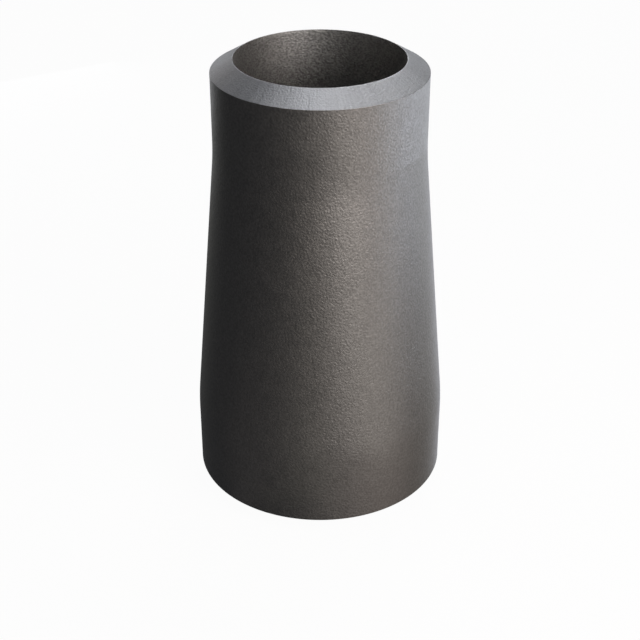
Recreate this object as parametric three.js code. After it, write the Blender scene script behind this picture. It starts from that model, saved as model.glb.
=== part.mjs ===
// Seamless butt-weld concentric reducer, DN 15 x DN 10, one piece of carbon steel.
// Millimetres, +Z up. The origin is the centre of the big end's root face, which is the base plane;
// the small end is at the top. The wall is one closed outline turned about Z.

import * as THREE from "three";

// Ends: outside diameters of the two pipes that the reducer joins, and its length face to face.
const LENGTH = 38.0;
const BIG_OUTSIDE_RADIUS = 21.3 / 2;
const SMALL_OUTSIDE_RADIUS = 17.2 / 2;

// Wall thickness measured square to the axis at each end.
const BIG_WALL = 2.1;
const SMALL_WALL = 1.85;

// Weld preparation: a bevel on the outside edge, and the narrow flat root face left inside it.
const BEVEL_ANGLE = THREE.MathUtils.degToRad(30.6);
const ROOT_FACE = 0.1;

// Reducing cone: the heights at which its line meets the lines of the two straight ends,
// and the radii, on the outside, of the bends that blend it into them.
const BIG_CORNER_HEIGHT = 7.55;
const SMALL_CORNER_HEIGHT = 30.35;
const BIG_BEND_RADIUS = 26.0;
const SMALL_BEND_RADIUS = 28.0;

// Fineness of the faceted solid.
const SEGMENTS_AROUND = 96;
const STEPS_PER_BEND = 4;

const BIG_BORE_RADIUS = BIG_OUTSIDE_RADIUS - BIG_WALL;
const SMALL_BORE_RADIUS = SMALL_OUTSIDE_RADIUS - SMALL_WALL;
const BIG_BEVEL_HEIGHT = (BIG_WALL - ROOT_FACE) * Math.tan(BEVEL_ANGLE);
const SMALL_BEVEL_HEIGHT = (SMALL_WALL - ROOT_FACE) * Math.tan(BEVEL_ANGLE);

// Points of a bend that rounds the corner where two straight lines of the outline meet.
// before and after are any points on those lines; the bend keeps the order before, corner, after.
function bend(before, corner, after, radius) {
  const towardsBefore = before.clone().sub(corner).normalize();
  const towardsAfter = after.clone().sub(corner).normalize();
  const halfAngle = Math.acos(towardsBefore.dot(towardsAfter)) / 2;
  const middle = towardsBefore.clone().add(towardsAfter).normalize();
  const centre = corner.clone().addScaledVector(middle, radius / Math.sin(halfAngle));
  const tangentLength = radius / Math.tan(halfAngle);
  const start = corner.clone().addScaledVector(towardsBefore, tangentLength).sub(centre);
  const end = corner.clone().addScaledVector(towardsAfter, tangentLength).sub(centre);
  const turn = start.cross(end) > 0 ? start.angleTo(end) : -start.angleTo(end);
  const points = [];
  for (let step = 0; step <= STEPS_PER_BEND; step += 1) {
    const angle = (turn * step) / STEPS_PER_BEND;
    points.push(start.clone().rotateAround(new THREE.Vector2(0, 0), angle).add(centre));
  }
  return points;
}

// Half section of the wall, radius across and height up, anticlockwise from the base's bore edge.
function wallOutline() {
  const at = (radius, height) => new THREE.Vector2(radius, height);
  const bigBevelEdge = at(BIG_OUTSIDE_RADIUS, BIG_BEVEL_HEIGHT);
  const bigOutsideCorner = at(BIG_OUTSIDE_RADIUS, BIG_CORNER_HEIGHT);
  const smallOutsideCorner = at(SMALL_OUTSIDE_RADIUS, SMALL_CORNER_HEIGHT);
  const smallBevelEdge = at(SMALL_OUTSIDE_RADIUS, LENGTH - SMALL_BEVEL_HEIGHT);
  const smallBoreEdge = at(SMALL_BORE_RADIUS, LENGTH);
  const smallBoreCorner = at(SMALL_BORE_RADIUS, SMALL_CORNER_HEIGHT);
  const bigBoreCorner = at(BIG_BORE_RADIUS, BIG_CORNER_HEIGHT);
  const bigBoreEdge = at(BIG_BORE_RADIUS, 0);
  return [
    bigBoreEdge,
    at(BIG_BORE_RADIUS + ROOT_FACE, 0),
    bigBevelEdge,
    ...bend(bigBevelEdge, bigOutsideCorner, smallOutsideCorner, BIG_BEND_RADIUS),
    ...bend(bigOutsideCorner, smallOutsideCorner, smallBevelEdge, SMALL_BEND_RADIUS),
    smallBevelEdge,
    at(SMALL_BORE_RADIUS + ROOT_FACE, LENGTH),
    smallBoreEdge,
    ...bend(smallBoreEdge, smallBoreCorner, bigBoreCorner, SMALL_BEND_RADIUS + SMALL_WALL),
    ...bend(smallBoreCorner, bigBoreCorner, bigBoreEdge, BIG_BEND_RADIUS - BIG_WALL),
    bigBoreEdge.clone(),
  ];
}

// Shot-blasted dark steel.
const steel = new THREE.MeshStandardMaterial({ color: 0x57534f, roughness: 0.5, metalness: 0.9 });

// A lathe turns about Y, so the wall is stood up onto Z.
const reducerBody = new THREE.Mesh(new THREE.LatheGeometry(wallOutline(), SEGMENTS_AROUND), steel);
reducerBody.name = "reducer_body";
reducerBody.rotation.x = Math.PI / 2;

const reducer = new THREE.Group();
reducer.add(reducerBody);

export default reducer;
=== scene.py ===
"""Looks of a seamless butt-weld concentric reducer: one blasted steel wall with machined weld bevels."""

import math

import bpy
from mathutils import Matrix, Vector, noise


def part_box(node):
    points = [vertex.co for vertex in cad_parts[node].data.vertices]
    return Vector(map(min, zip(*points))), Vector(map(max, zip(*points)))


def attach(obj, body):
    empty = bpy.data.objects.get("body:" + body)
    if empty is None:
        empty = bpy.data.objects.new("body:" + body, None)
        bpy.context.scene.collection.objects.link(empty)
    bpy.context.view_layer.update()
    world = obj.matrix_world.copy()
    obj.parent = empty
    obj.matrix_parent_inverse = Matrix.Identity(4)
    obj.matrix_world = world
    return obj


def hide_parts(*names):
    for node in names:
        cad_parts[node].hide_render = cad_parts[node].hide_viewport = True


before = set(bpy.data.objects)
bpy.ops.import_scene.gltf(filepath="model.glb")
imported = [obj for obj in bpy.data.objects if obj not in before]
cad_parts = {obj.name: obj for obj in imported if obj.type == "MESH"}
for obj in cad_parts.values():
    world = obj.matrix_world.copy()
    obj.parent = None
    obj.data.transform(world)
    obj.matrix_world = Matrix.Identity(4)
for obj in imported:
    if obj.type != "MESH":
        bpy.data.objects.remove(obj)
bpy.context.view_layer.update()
node_low, node_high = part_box("reducer_body")

# The wall, in metres. Its length and big diameter come from the frame. The small end is set to the photo
# within 0.1 mm of the CAD model's, and the other sizes are the CAD model's.
MM = 0.001
LENGTH = node_high.z - node_low.z
BIG_OUTSIDE_RADIUS = (node_high.x - node_low.x) / 2
SMALL_OUTSIDE_RADIUS = 8.6 * MM
BIG_WALL = 2.1 * MM
SMALL_WALL = 1.82 * MM
BEVEL_ANGLE = math.radians(30.2)
ROOT_FACE = 0.04 * MM
BIG_CORNER_HEIGHT = 7.55 * MM
SMALL_CORNER_HEIGHT = 30.35 * MM
BIG_BEND_RADIUS = 26 * MM
SMALL_BEND_RADIUS = 28 * MM
EDGE_RADIUS = 0.01 * MM

# Low relief pressed into the blasted surfaces, as (size of a bump, depth), and how it fades at the bevels.
ORANGE_PEEL = (0.7 * MM, 0.004 * MM)
HAMMERING = (4.5 * MM, 0.005 * MM)
RELIEF_FADE = 0.5 * MM

# Mesh fineness.
SEGMENTS_AROUND = 288
SKIN_STEP = 0.24 * MM
BORE_STEP = 0.34 * MM
BEVEL_STEP = 0.16 * MM
EDGE_STEP = math.radians(20)

SKIN, BORE, BEVEL = range(3)


def bevel_height(wall):
    """How far a weld bevel reaches along the axis, on a wall of this thickness."""
    return (wall - ROOT_FACE) * math.tan(BEVEL_ANGLE)


def wall_corners():
    """Corners of the wall's half section as (radius, height, edge radius, surface up to the next corner)."""
    big_bore = BIG_OUTSIDE_RADIUS - BIG_WALL
    small_bore = SMALL_OUTSIDE_RADIUS - SMALL_WALL
    return [
        (big_bore, 0, EDGE_RADIUS, BEVEL),
        (big_bore + ROOT_FACE, 0, EDGE_RADIUS, BEVEL),
        (BIG_OUTSIDE_RADIUS, bevel_height(BIG_WALL), EDGE_RADIUS, SKIN),
        (BIG_OUTSIDE_RADIUS, BIG_CORNER_HEIGHT, BIG_BEND_RADIUS, SKIN),
        (SMALL_OUTSIDE_RADIUS, SMALL_CORNER_HEIGHT, SMALL_BEND_RADIUS, SKIN),
        (SMALL_OUTSIDE_RADIUS, LENGTH - bevel_height(SMALL_WALL), EDGE_RADIUS, BEVEL),
        (small_bore + ROOT_FACE, LENGTH, EDGE_RADIUS, BEVEL),
        (small_bore, LENGTH, EDGE_RADIUS, BORE),
        (small_bore, SMALL_CORNER_HEIGHT, SMALL_BEND_RADIUS + SMALL_WALL, BORE),
        (big_bore, BIG_CORNER_HEIGHT, BIG_BEND_RADIUS - BIG_WALL, BORE),
    ]


def corner_arc(before, corner, after, radius):
    """Centre, start and turn of the arc that rounds a corner between two straight lines."""
    back = (before - corner).normalized()
    ahead = (after - corner).normalized()
    half = back.angle(ahead) / 2
    centre = corner + (back + ahead).normalized() * radius / math.sin(half)
    start = corner + back * radius / math.tan(half) - centre
    end = corner + ahead * radius / math.tan(half) - centre
    turn = math.atan2(start.x * end.y - start.y * end.x, start.dot(end))
    return centre, start, turn


def rotated(vector, angle):
    """A flat vector turned by an angle, counterclockwise."""
    cosine = math.cos(angle)
    sine = math.sin(angle)
    return Vector((cosine * vector.x - sine * vector.y, sine * vector.x + cosine * vector.y))


def arc_steps(radius, turn, step):
    """Number of steps on an arc: by its length on a bend, by its turn on a machined edge."""
    if radius > EDGE_RADIUS:
        return math.ceil(abs(turn) * radius / step)
    return math.ceil(abs(turn) / EDGE_STEP)


def wall_outline():
    """The closed half section as points, outward normals and the surface of the step after each point."""
    step_of = {SKIN: SKIN_STEP, BORE: BORE_STEP, BEVEL: BEVEL_STEP}
    corners = wall_corners()
    places = [Vector(c[:2]) for c in corners]
    count = len(corners)
    arcs = [
        corner_arc(places[i - 1], places[i], places[(i + 1) % count], corners[i][2])
        for i in range(count)
    ]
    points, normals, surfaces = [], [], []
    for i, (centre, start, turn) in enumerate(arcs):
        radius, surface = corners[i][2:]
        step = step_of[surface]
        steps = arc_steps(radius, turn, step)
        for k in range(steps + 1):
            spoke = rotated(start, turn * k / steps)
            points.append(centre + spoke)
            normals.append(spoke.normalized() * math.copysign(1, turn))
            surfaces.append(surface)
        after_centre, after_start, _ = arcs[(i + 1) % count]
        here = points[-1]
        there = after_centre + after_start
        flat_steps = max(1, round((there - here).length / step))
        for k in range(1, flat_steps):
            points.append(here.lerp(there, k / flat_steps))
            normals.append(normals[-1])
            surfaces.append(surface)
    return points, normals, surfaces


def edge_fade(surface, height):
    """0 at the machined ends of a blasted surface, rising to 1 where the relief has its full depth."""
    if surface == BEVEL:
        return 0.0
    low, high = 0.0, LENGTH
    if surface == SKIN:
        low = bevel_height(BIG_WALL)
        high = LENGTH - bevel_height(SMALL_WALL)
    return max(0.0, min(1.0, (height - low) / RELIEF_FADE, (high - height) / RELIEF_FADE))


def relief_depth(place):
    """How far the blasted surface lies under its true size at a place: never above it."""
    depth = 0.0
    for size, deepest in (ORANGE_PEEL, HAMMERING):
        depth += deepest * (0.5 + 0.5 * noise.noise(place / size))
    return depth


def reducer_mesh():
    """The wall's outline turned about Z, with the blasted surfaces pressed in by their relief."""
    points, normals, surfaces = wall_outline()
    rings = len(points)
    vertices, faces, materials = [], [], []
    for point, normal, surface in zip(points, normals, surfaces):
        fade = edge_fade(surface, point.y)
        for segment in range(SEGMENTS_AROUND):
            angle = 2 * math.pi * segment / SEGMENTS_AROUND
            cosine = math.cos(angle)
            sine = math.sin(angle)
            place = Vector((point.x * cosine, point.x * sine, point.y))
            outwards = Vector((normal.x * cosine, normal.x * sine, normal.y))
            if fade > 0:
                place -= outwards * relief_depth(place) * fade
            vertices.append(place)
    for ring in range(rings):
        here = ring * SEGMENTS_AROUND
        above = (ring + 1) % rings * SEGMENTS_AROUND
        for segment in range(SEGMENTS_AROUND):
            side = (segment + 1) % SEGMENTS_AROUND
            faces.append((here + segment, here + side, above + side, above + segment))
            materials.append(surfaces[ring])
    mesh = bpy.data.meshes.new("reducer_shell")
    mesh.from_pydata(vertices, [], faces)
    mesh.polygons.foreach_set("material_index", materials)
    mesh.polygons.foreach_set("use_smooth", [True] * len(faces))
    mesh.set_sharp_from_angle(angle=EDGE_STEP / 2)
    mesh.validate()
    return mesh


class Nodes:
    """A node tree that is built by calls: each returns the socket that carries its result."""

    def __init__(self, tree):
        self.tree = tree

    def add(self, kind, **settings):
        node = self.tree.nodes.new(kind)
        for name, value in settings.items():
            setattr(node, name, value)
        return node

    def feed(self, socket, value):
        if isinstance(value, bpy.types.NodeSocket):
            self.tree.links.new(value, socket)
        else:
            socket.default_value = value

    def math(self, operation, *values):
        node = self.add("ShaderNodeMath", operation=operation)
        for socket, value in zip(node.inputs, values):
            self.feed(socket, value)
        return node.outputs["Value"]

    def vectors(self, operation, *values):
        node = self.add("ShaderNodeVectorMath", operation=operation)
        for socket, value in zip(node.inputs, values):
            self.feed(socket, value)
        return node.outputs["Value" if operation == "DOT_PRODUCT" else "Vector"]

    def scaled(self, vector, factor):
        node = self.add("ShaderNodeVectorMath", operation="SCALE")
        self.feed(node.inputs[0], vector)
        self.feed(node.inputs["Scale"], factor)
        return node.outputs["Vector"]

    def vector(self, x, y, z):
        node = self.add("ShaderNodeCombineXYZ")
        for socket, value in zip(node.inputs, (x, y, z)):
            self.feed(socket, value)
        return node.outputs["Vector"]


# A noise's values run from 0 to 1, most of them in the middle range. Creases are lowest halfway, and rise to
# their full height at both ends of the crease range.
NOISE_LOW, NOISE_HIGH = 0.3, 0.7
CREASE_LOW, CREASE_HIGH = 0.2, 0.8


class Metal(Nodes):
    """The nodes of a metal. Its grain is laid out in the part's own frame, so sizes are in metres."""

    def __init__(self, name):
        self.material = bpy.data.materials.new(name)
        self.material.use_nodes = True
        super().__init__(self.material.node_tree)
        self.place = self.add("ShaderNodeTexCoord").outputs["Object"]

    def noise(self, where, size, detail=2.0, roughness=0.5):
        """Noise from 0 to 1 whose features are about size metres across."""
        node = self.add("ShaderNodeTexNoise")
        self.feed(node.inputs["Vector"], where)
        node.inputs["Scale"].default_value = 1 / size
        node.inputs["Detail"].default_value = detail
        node.inputs["Roughness"].default_value = roughness
        return node.outputs["Fac"]

    def spread(self, value, low, high):
        """A noise's middle range mapped to low..high, and held at the ends."""
        node = self.add("ShaderNodeMapRange")
        self.feed(node.inputs["Value"], value)
        node.inputs["From Min"].default_value = NOISE_LOW
        node.inputs["From Max"].default_value = NOISE_HIGH
        node.inputs["To Min"].default_value = low
        node.inputs["To Max"].default_value = high
        return node.outputs["Result"]

    def creases(self, value):
        """Narrow valleys, down to 0, along the lines where a noise has its middle value."""
        node = self.add("ShaderNodeMapRange")
        self.feed(node.inputs["Value"], value)
        node.inputs["From Min"].default_value = CREASE_LOW
        node.inputs["From Max"].default_value = CREASE_HIGH
        node.inputs["To Min"].default_value = -1.0
        node.inputs["To Max"].default_value = 1.0
        return self.math("ABSOLUTE", node.outputs["Result"])

    def relief(self, height, depth, below=None):
        """Bump from a height of 0 to 1 that stands for depth metres."""
        node = self.add("ShaderNodeBump")
        self.feed(node.inputs["Height"], height)
        node.inputs["Distance"].default_value = depth
        if below:
            self.feed(node.inputs["Normal"], below)
        return node.outputs["Normal"]

    def blend(self, share, first, second):
        node = self.add("ShaderNodeMix", data_type="RGBA")
        shown = [socket for socket in node.inputs if socket.enabled]
        for socket, value in zip(shown, (share, (*first, 1), (*second, 1))):
            self.feed(socket, value)
        return next(socket for socket in node.outputs if socket.enabled)

    def finish(self, colour, roughness, normal):
        shader = self.tree.nodes["Principled BSDF"]
        self.feed(shader.inputs["Base Color"], colour)
        self.feed(shader.inputs["Roughness"], roughness)
        self.feed(shader.inputs["Normal"], normal)
        shader.inputs["Metallic"].default_value = 1.0
        return self.material


# Blasted steel: the sizes of its clouds and of its mottle, each pattern's share in the tone, and how far the
# roughness strays to either side.
CLOUD_SIZE = 6.0 * MM
MOTTLE_SIZE = 1.1 * MM
CLOUD_SHARE = 0.12
MOTTLE_SHARE = 0.13
DENT_SHARE = 0.75
BLASTED_ROUGHNESS_SPREAD = 0.03
# Its creases, by the size and the depth of its dents.
CREASE_SIZE_RATIO = 1.3
CREASE_DEPTH_RATIO = 0.35


def blasted_steel(name, dark, light, roughness, dent_size, dent_depth, squat):
    """Shot-blasted steel: a leathery skin of fine overlapping dents over a mottled dark oxide.

    squat is how many times shorter a dent is along the pipe than across it.
    """
    metal = Metal(name)
    clouds = metal.noise(metal.place, CLOUD_SIZE, detail=3.0, roughness=0.6)
    mottle = metal.noise(metal.place, MOTTLE_SIZE, detail=3.0, roughness=0.65)
    where = metal.vectors("MULTIPLY", metal.place, (1, 1, squat))
    dents = metal.noise(where, dent_size, detail=0.5, roughness=0.4)
    creases = metal.creases(metal.noise(where, CREASE_SIZE_RATIO * dent_size, detail=0.0))
    tone = metal.math("ADD", metal.spread(clouds, 0.0, CLOUD_SHARE), metal.spread(mottle, 0.0, MOTTLE_SHARE))
    tone = metal.math("ADD", tone, metal.spread(dents, 0.0, DENT_SHARE))
    normal = metal.relief(creases, CREASE_DEPTH_RATIO * dent_depth)
    normal = metal.relief(dents, dent_depth, normal)
    dull = metal.spread(mottle, roughness - BLASTED_ROUGHNESS_SPREAD, roughness + BLASTED_ROUGHNESS_SPREAD)
    return metal.finish(metal.blend(tone, dark, light), dull, normal)


# Machined steel: the sizes and depths of its tool rings, chatter marks and grit, the shares of the last two
# in the tone, and how far the roughness strays to either side.
RING_SIZE = 0.09 * MM
RING_DEPTH = 0.0015 * MM
CHATTER_SIZE = 0.16 * MM
CHATTER_DEPTH = 0.013 * MM
GRIT_SIZE = 0.15 * MM
GRIT_DEPTH = 0.03 * MM
CHATTER_SHARE = 0.5
GRIT_SHARE = 0.5
MACHINED_ROUGHNESS_SPREAD = 0.04
# How fast the rings change with height, by how fast they change with radius.
RING_HEIGHT_RATIO = 0.3


def machined_steel(name, dark, light, roughness):
    """Steel turned at the weld bevels: fine tool rings, hairline chatter marks across them, and grit."""
    metal = Metal(name)
    split = metal.add("ShaderNodeSeparateXYZ")
    metal.feed(split.inputs[0], metal.place)
    x, y, z = split.outputs
    radius_squared = metal.math("ADD", metal.math("MULTIPLY", x, x), metal.math("MULTIPLY", y, y))
    radius = metal.math("SQRT", radius_squared)
    outwards = metal.vectors("NORMALIZE", metal.vector(x, y, 0))
    around = metal.scaled(outwards, SMALL_OUTSIDE_RADIUS)
    chatter = metal.noise(around, CHATTER_SIZE)
    along_bevel = metal.vector(radius, 0, metal.math("MULTIPLY", z, RING_HEIGHT_RATIO))
    rings = metal.noise(along_bevel, RING_SIZE)
    grit = metal.noise(metal.place, GRIT_SIZE)
    tone = metal.math("ADD", metal.spread(chatter, 0.0, CHATTER_SHARE), metal.spread(grit, 0.0, GRIT_SHARE))
    normal = metal.relief(rings, RING_DEPTH)
    normal = metal.relief(chatter, CHATTER_DEPTH, normal)
    normal = metal.relief(grit, GRIT_DEPTH, normal)
    dull = metal.spread(chatter, roughness - MACHINED_ROUGHNESS_SPREAD, roughness + MACHINED_ROUGHNESS_SPREAD)
    return metal.finish(metal.blend(tone, dark, light), dull, normal)


def blasted_skin():
    """Dark, slightly brown steel of the outside."""
    return blasted_steel("blasted_skin", dark=(0.225, 0.209, 0.196), light=(0.315, 0.294, 0.277),
                         roughness=0.47, dent_size=0.175 * MM, dent_depth=0.018 * MM, squat=1.0)


def blasted_bore():
    """Paler and more neutral steel of the inside, with dents that are stretched around the pipe."""
    return blasted_steel("blasted_bore", dark=(0.255, 0.251, 0.245), light=(0.480, 0.472, 0.461),
                         roughness=0.53, dent_size=0.19 * MM, dent_depth=0.019 * MM, squat=1.4)


def machined_bevel():
    """Bright bare steel of the weld bevels and the root faces."""
    return machined_steel("machined_bevel", dark=(0.53, 0.533, 0.54), light=(0.75, 0.754, 0.765),
                          roughness=0.48)


def reducer_shell():
    """The whole reducer in one piece, with its three surfaces' materials in the order of their numbers."""
    mesh = reducer_mesh()
    for material in (blasted_skin(), blasted_bore(), machined_bevel()):
        mesh.materials.append(material)
    shell = bpy.data.objects.new("reducer_shell", mesh)
    bpy.context.scene.collection.objects.link(shell)
    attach(shell, "root")
    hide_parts("reducer_body")


# The photo's view, fitted to its outline and edges. The dip is how far it looks down, in degrees.
CAMERA_LENS = 75.81
SENSOR_WIDTH = 36
CAMERA_DISTANCE = 100.4 * MM
CAMERA_HEIGHT = 72.65 * MM
CAMERA_DIP = 30.08


def photo_camera():
    """Camera in front of the part that looks down at it, without roll."""
    lens = bpy.data.cameras.new("camera")
    lens.lens = CAMERA_LENS
    lens.sensor_width = SENSOR_WIDTH
    lens.clip_start = 1 * MM
    camera = bpy.data.objects.new("camera", lens)
    camera.location = (0, -CAMERA_DISTANCE, CAMERA_HEIGHT)
    camera.rotation_euler = (math.radians(90 - CAMERA_DIP), 0, 0)
    bpy.context.scene.collection.objects.link(camera)
    bpy.context.scene.camera = camera
    bpy.context.scene.view_settings.view_transform = "Standard"


# Studio: soft boxes around the part, aimed at its middle, and pale cards lying on the table beside it.
# A reach is a light's distance and its size, in metres.
AIM = Vector((0, 0, LENGTH / 2))
FAR = (0.30, 0.13)
NEAR = (0.11, 0.05)
CLOSE_CARD = (0.055, 0.05)
BASE_CARD = (0.032, 0.03)
WIDE_CARD = (0.13, 0.10)


def direction(azimuth, elevation):
    """Unit vector from the part, azimuth in degrees from the camera's side towards +X."""
    a = math.radians(azimuth)
    e = math.radians(elevation)
    return Vector((math.sin(a) * math.cos(e), -math.cos(a) * math.cos(e), math.sin(e)))


def square_light(name, place, facing, size, power, colour):
    """A square lamp that shines in the facing direction, hidden from the camera."""
    light = bpy.data.lights.new(name, "AREA")
    light.shape = "SQUARE"
    light.size = size
    light.energy = power
    light.color = colour
    lamp = bpy.data.objects.new(name, light)
    lamp.location = place
    lamp.rotation_euler = facing.to_track_quat("-Z", "Y").to_euler()
    lamp.visible_camera = False
    bpy.context.scene.collection.objects.link(lamp)


def softbox(name, azimuth, elevation, power, colour, reach=FAR):
    """A square light that faces the part from a direction."""
    distance, size = reach
    towards = direction(azimuth, elevation)
    square_light(name, AIM + towards * distance, -towards, size, power, colour)


def table_card(name, azimuth, power, colour, reach=WIDE_CARD):
    """A square light that lies on the table and faces up."""
    distance, size = reach
    square_light(name, direction(azimuth, 0) * distance, Vector((0, 0, 1)), size, power, colour)


def studio_lights():
    """Lights by azimuth, elevation, power in watts and colour: the strengths follow the photo's shading."""
    softbox("key", 28, 10, 0.238, (1.0, 0.99, 0.99))
    softbox("front", 0, 15, 0.0736, (1.0, 0.96, 0.88))
    softbox("near_key", 45, 30, 0.0421, (1.0, 0.89, 0.85), NEAR)
    softbox("near_side", 60, 30, 0.0142, (1.0, 0.94, 0.82), NEAR)
    softbox("overhead", 0, 88, 0.0995, (0.95, 0.96, 1.0))
    softbox("back", 165, 45, 0.191, (0.94, 0.96, 1.0))
    softbox("left_back", -150, 18, 0.0182, (1.0, 0.92, 0.89))
    softbox("near_left_back", -150, 0, 0.0086, (0.89, 0.92, 1.0), NEAR)
    table_card("card_left", -45, 0.00009, (1.0, 0.95, 0.95), BASE_CARD)
    table_card("card_front", -20, 0.0003, (0.99, 1.0, 0.88), BASE_CARD)
    table_card("card_front_right", 45, 0.0033, (0.98, 1.0, 0.96), CLOSE_CARD)
    table_card("card_right", 85, 0.0915, (0.79, 0.89, 1.0))
    table_card("card_right_back", 105, 0.0689, (0.73, 0.83, 1.0))
    table_card("card_back", 125, 0.0261, (0.77, 0.88, 1.0))


ROOM_LIGHT = (0.050, 0.054, 0.061)
BACKDROP = (0.96, 0.96, 0.96, 1)
FLOOR_TONE = (0.04, 0.04, 0.04, 1)
FLOOR_SIZE = 4
# Light thrown up by the table, as (direction it comes from, tightness, colour).
TABLE_GLOWS = (
    (direction(60, -40), 8, (0.47, 0.42, 0.39)),
    (direction(130, -20), 10, (0.32, 0.31, 0.27)),
    (direction(160, -30), 20, (1.27, 1.35, 1.55)),
    (direction(-150, -8), 20, (0.21, 0.22, 0.19)),
)


def studio_air():
    """Dim room with pale light thrown up by the table, and a plain pale backdrop for the camera."""
    world = bpy.data.worlds.new("studio")
    bpy.context.scene.world = world
    world.use_nodes = True
    air = Nodes(world.node_tree)
    looking = air.add("ShaderNodeTexCoord").outputs["Generated"]
    light = ROOM_LIGHT
    for towards, tightness, colour in TABLE_GLOWS:
        ahead = air.math("MAXIMUM", air.vectors("DOT_PRODUCT", looking, towards), 0)
        light = air.vectors("ADD", light, air.scaled(colour, air.math("POWER", ahead, tightness)))
    room = world.node_tree.nodes["Background"]
    air.feed(room.inputs["Color"], light)
    backdrop = air.add("ShaderNodeBackground")
    backdrop.inputs["Color"].default_value = BACKDROP
    choice = air.add("ShaderNodeMixShader")
    air.feed(choice.inputs[0], air.add("ShaderNodeLightPath").outputs["Is Camera Ray"])
    air.feed(choice.inputs[1], room.outputs[0])
    air.feed(choice.inputs[2], backdrop.outputs[0])
    air.feed(world.node_tree.nodes["World Output"].inputs["Surface"], choice.outputs[0])


def pale_floor():
    """Pale and almost self-lit floor, seen by the camera only, so it neither lights nor shades the part."""
    bpy.ops.mesh.primitive_plane_add(size=FLOOR_SIZE)
    floor = bpy.context.object
    floor.name = "floor"
    floor.visible_diffuse = False
    floor.visible_glossy = False
    floor.visible_shadow = False
    material = bpy.data.materials.new("floor")
    material.use_nodes = True
    paper = material.node_tree.nodes["Principled BSDF"]
    paper.inputs["Base Color"].default_value = FLOOR_TONE
    paper.inputs["Roughness"].default_value = 1.0
    paper.inputs["Specular IOR Level"].default_value = 0.0
    paper.inputs["Emission Color"].default_value = BACKDROP
    paper.inputs["Emission Strength"].default_value = 1.0
    floor.data.materials.append(material)


reducer_shell()
photo_camera()
studio_lights()
studio_air()
pale_floor()
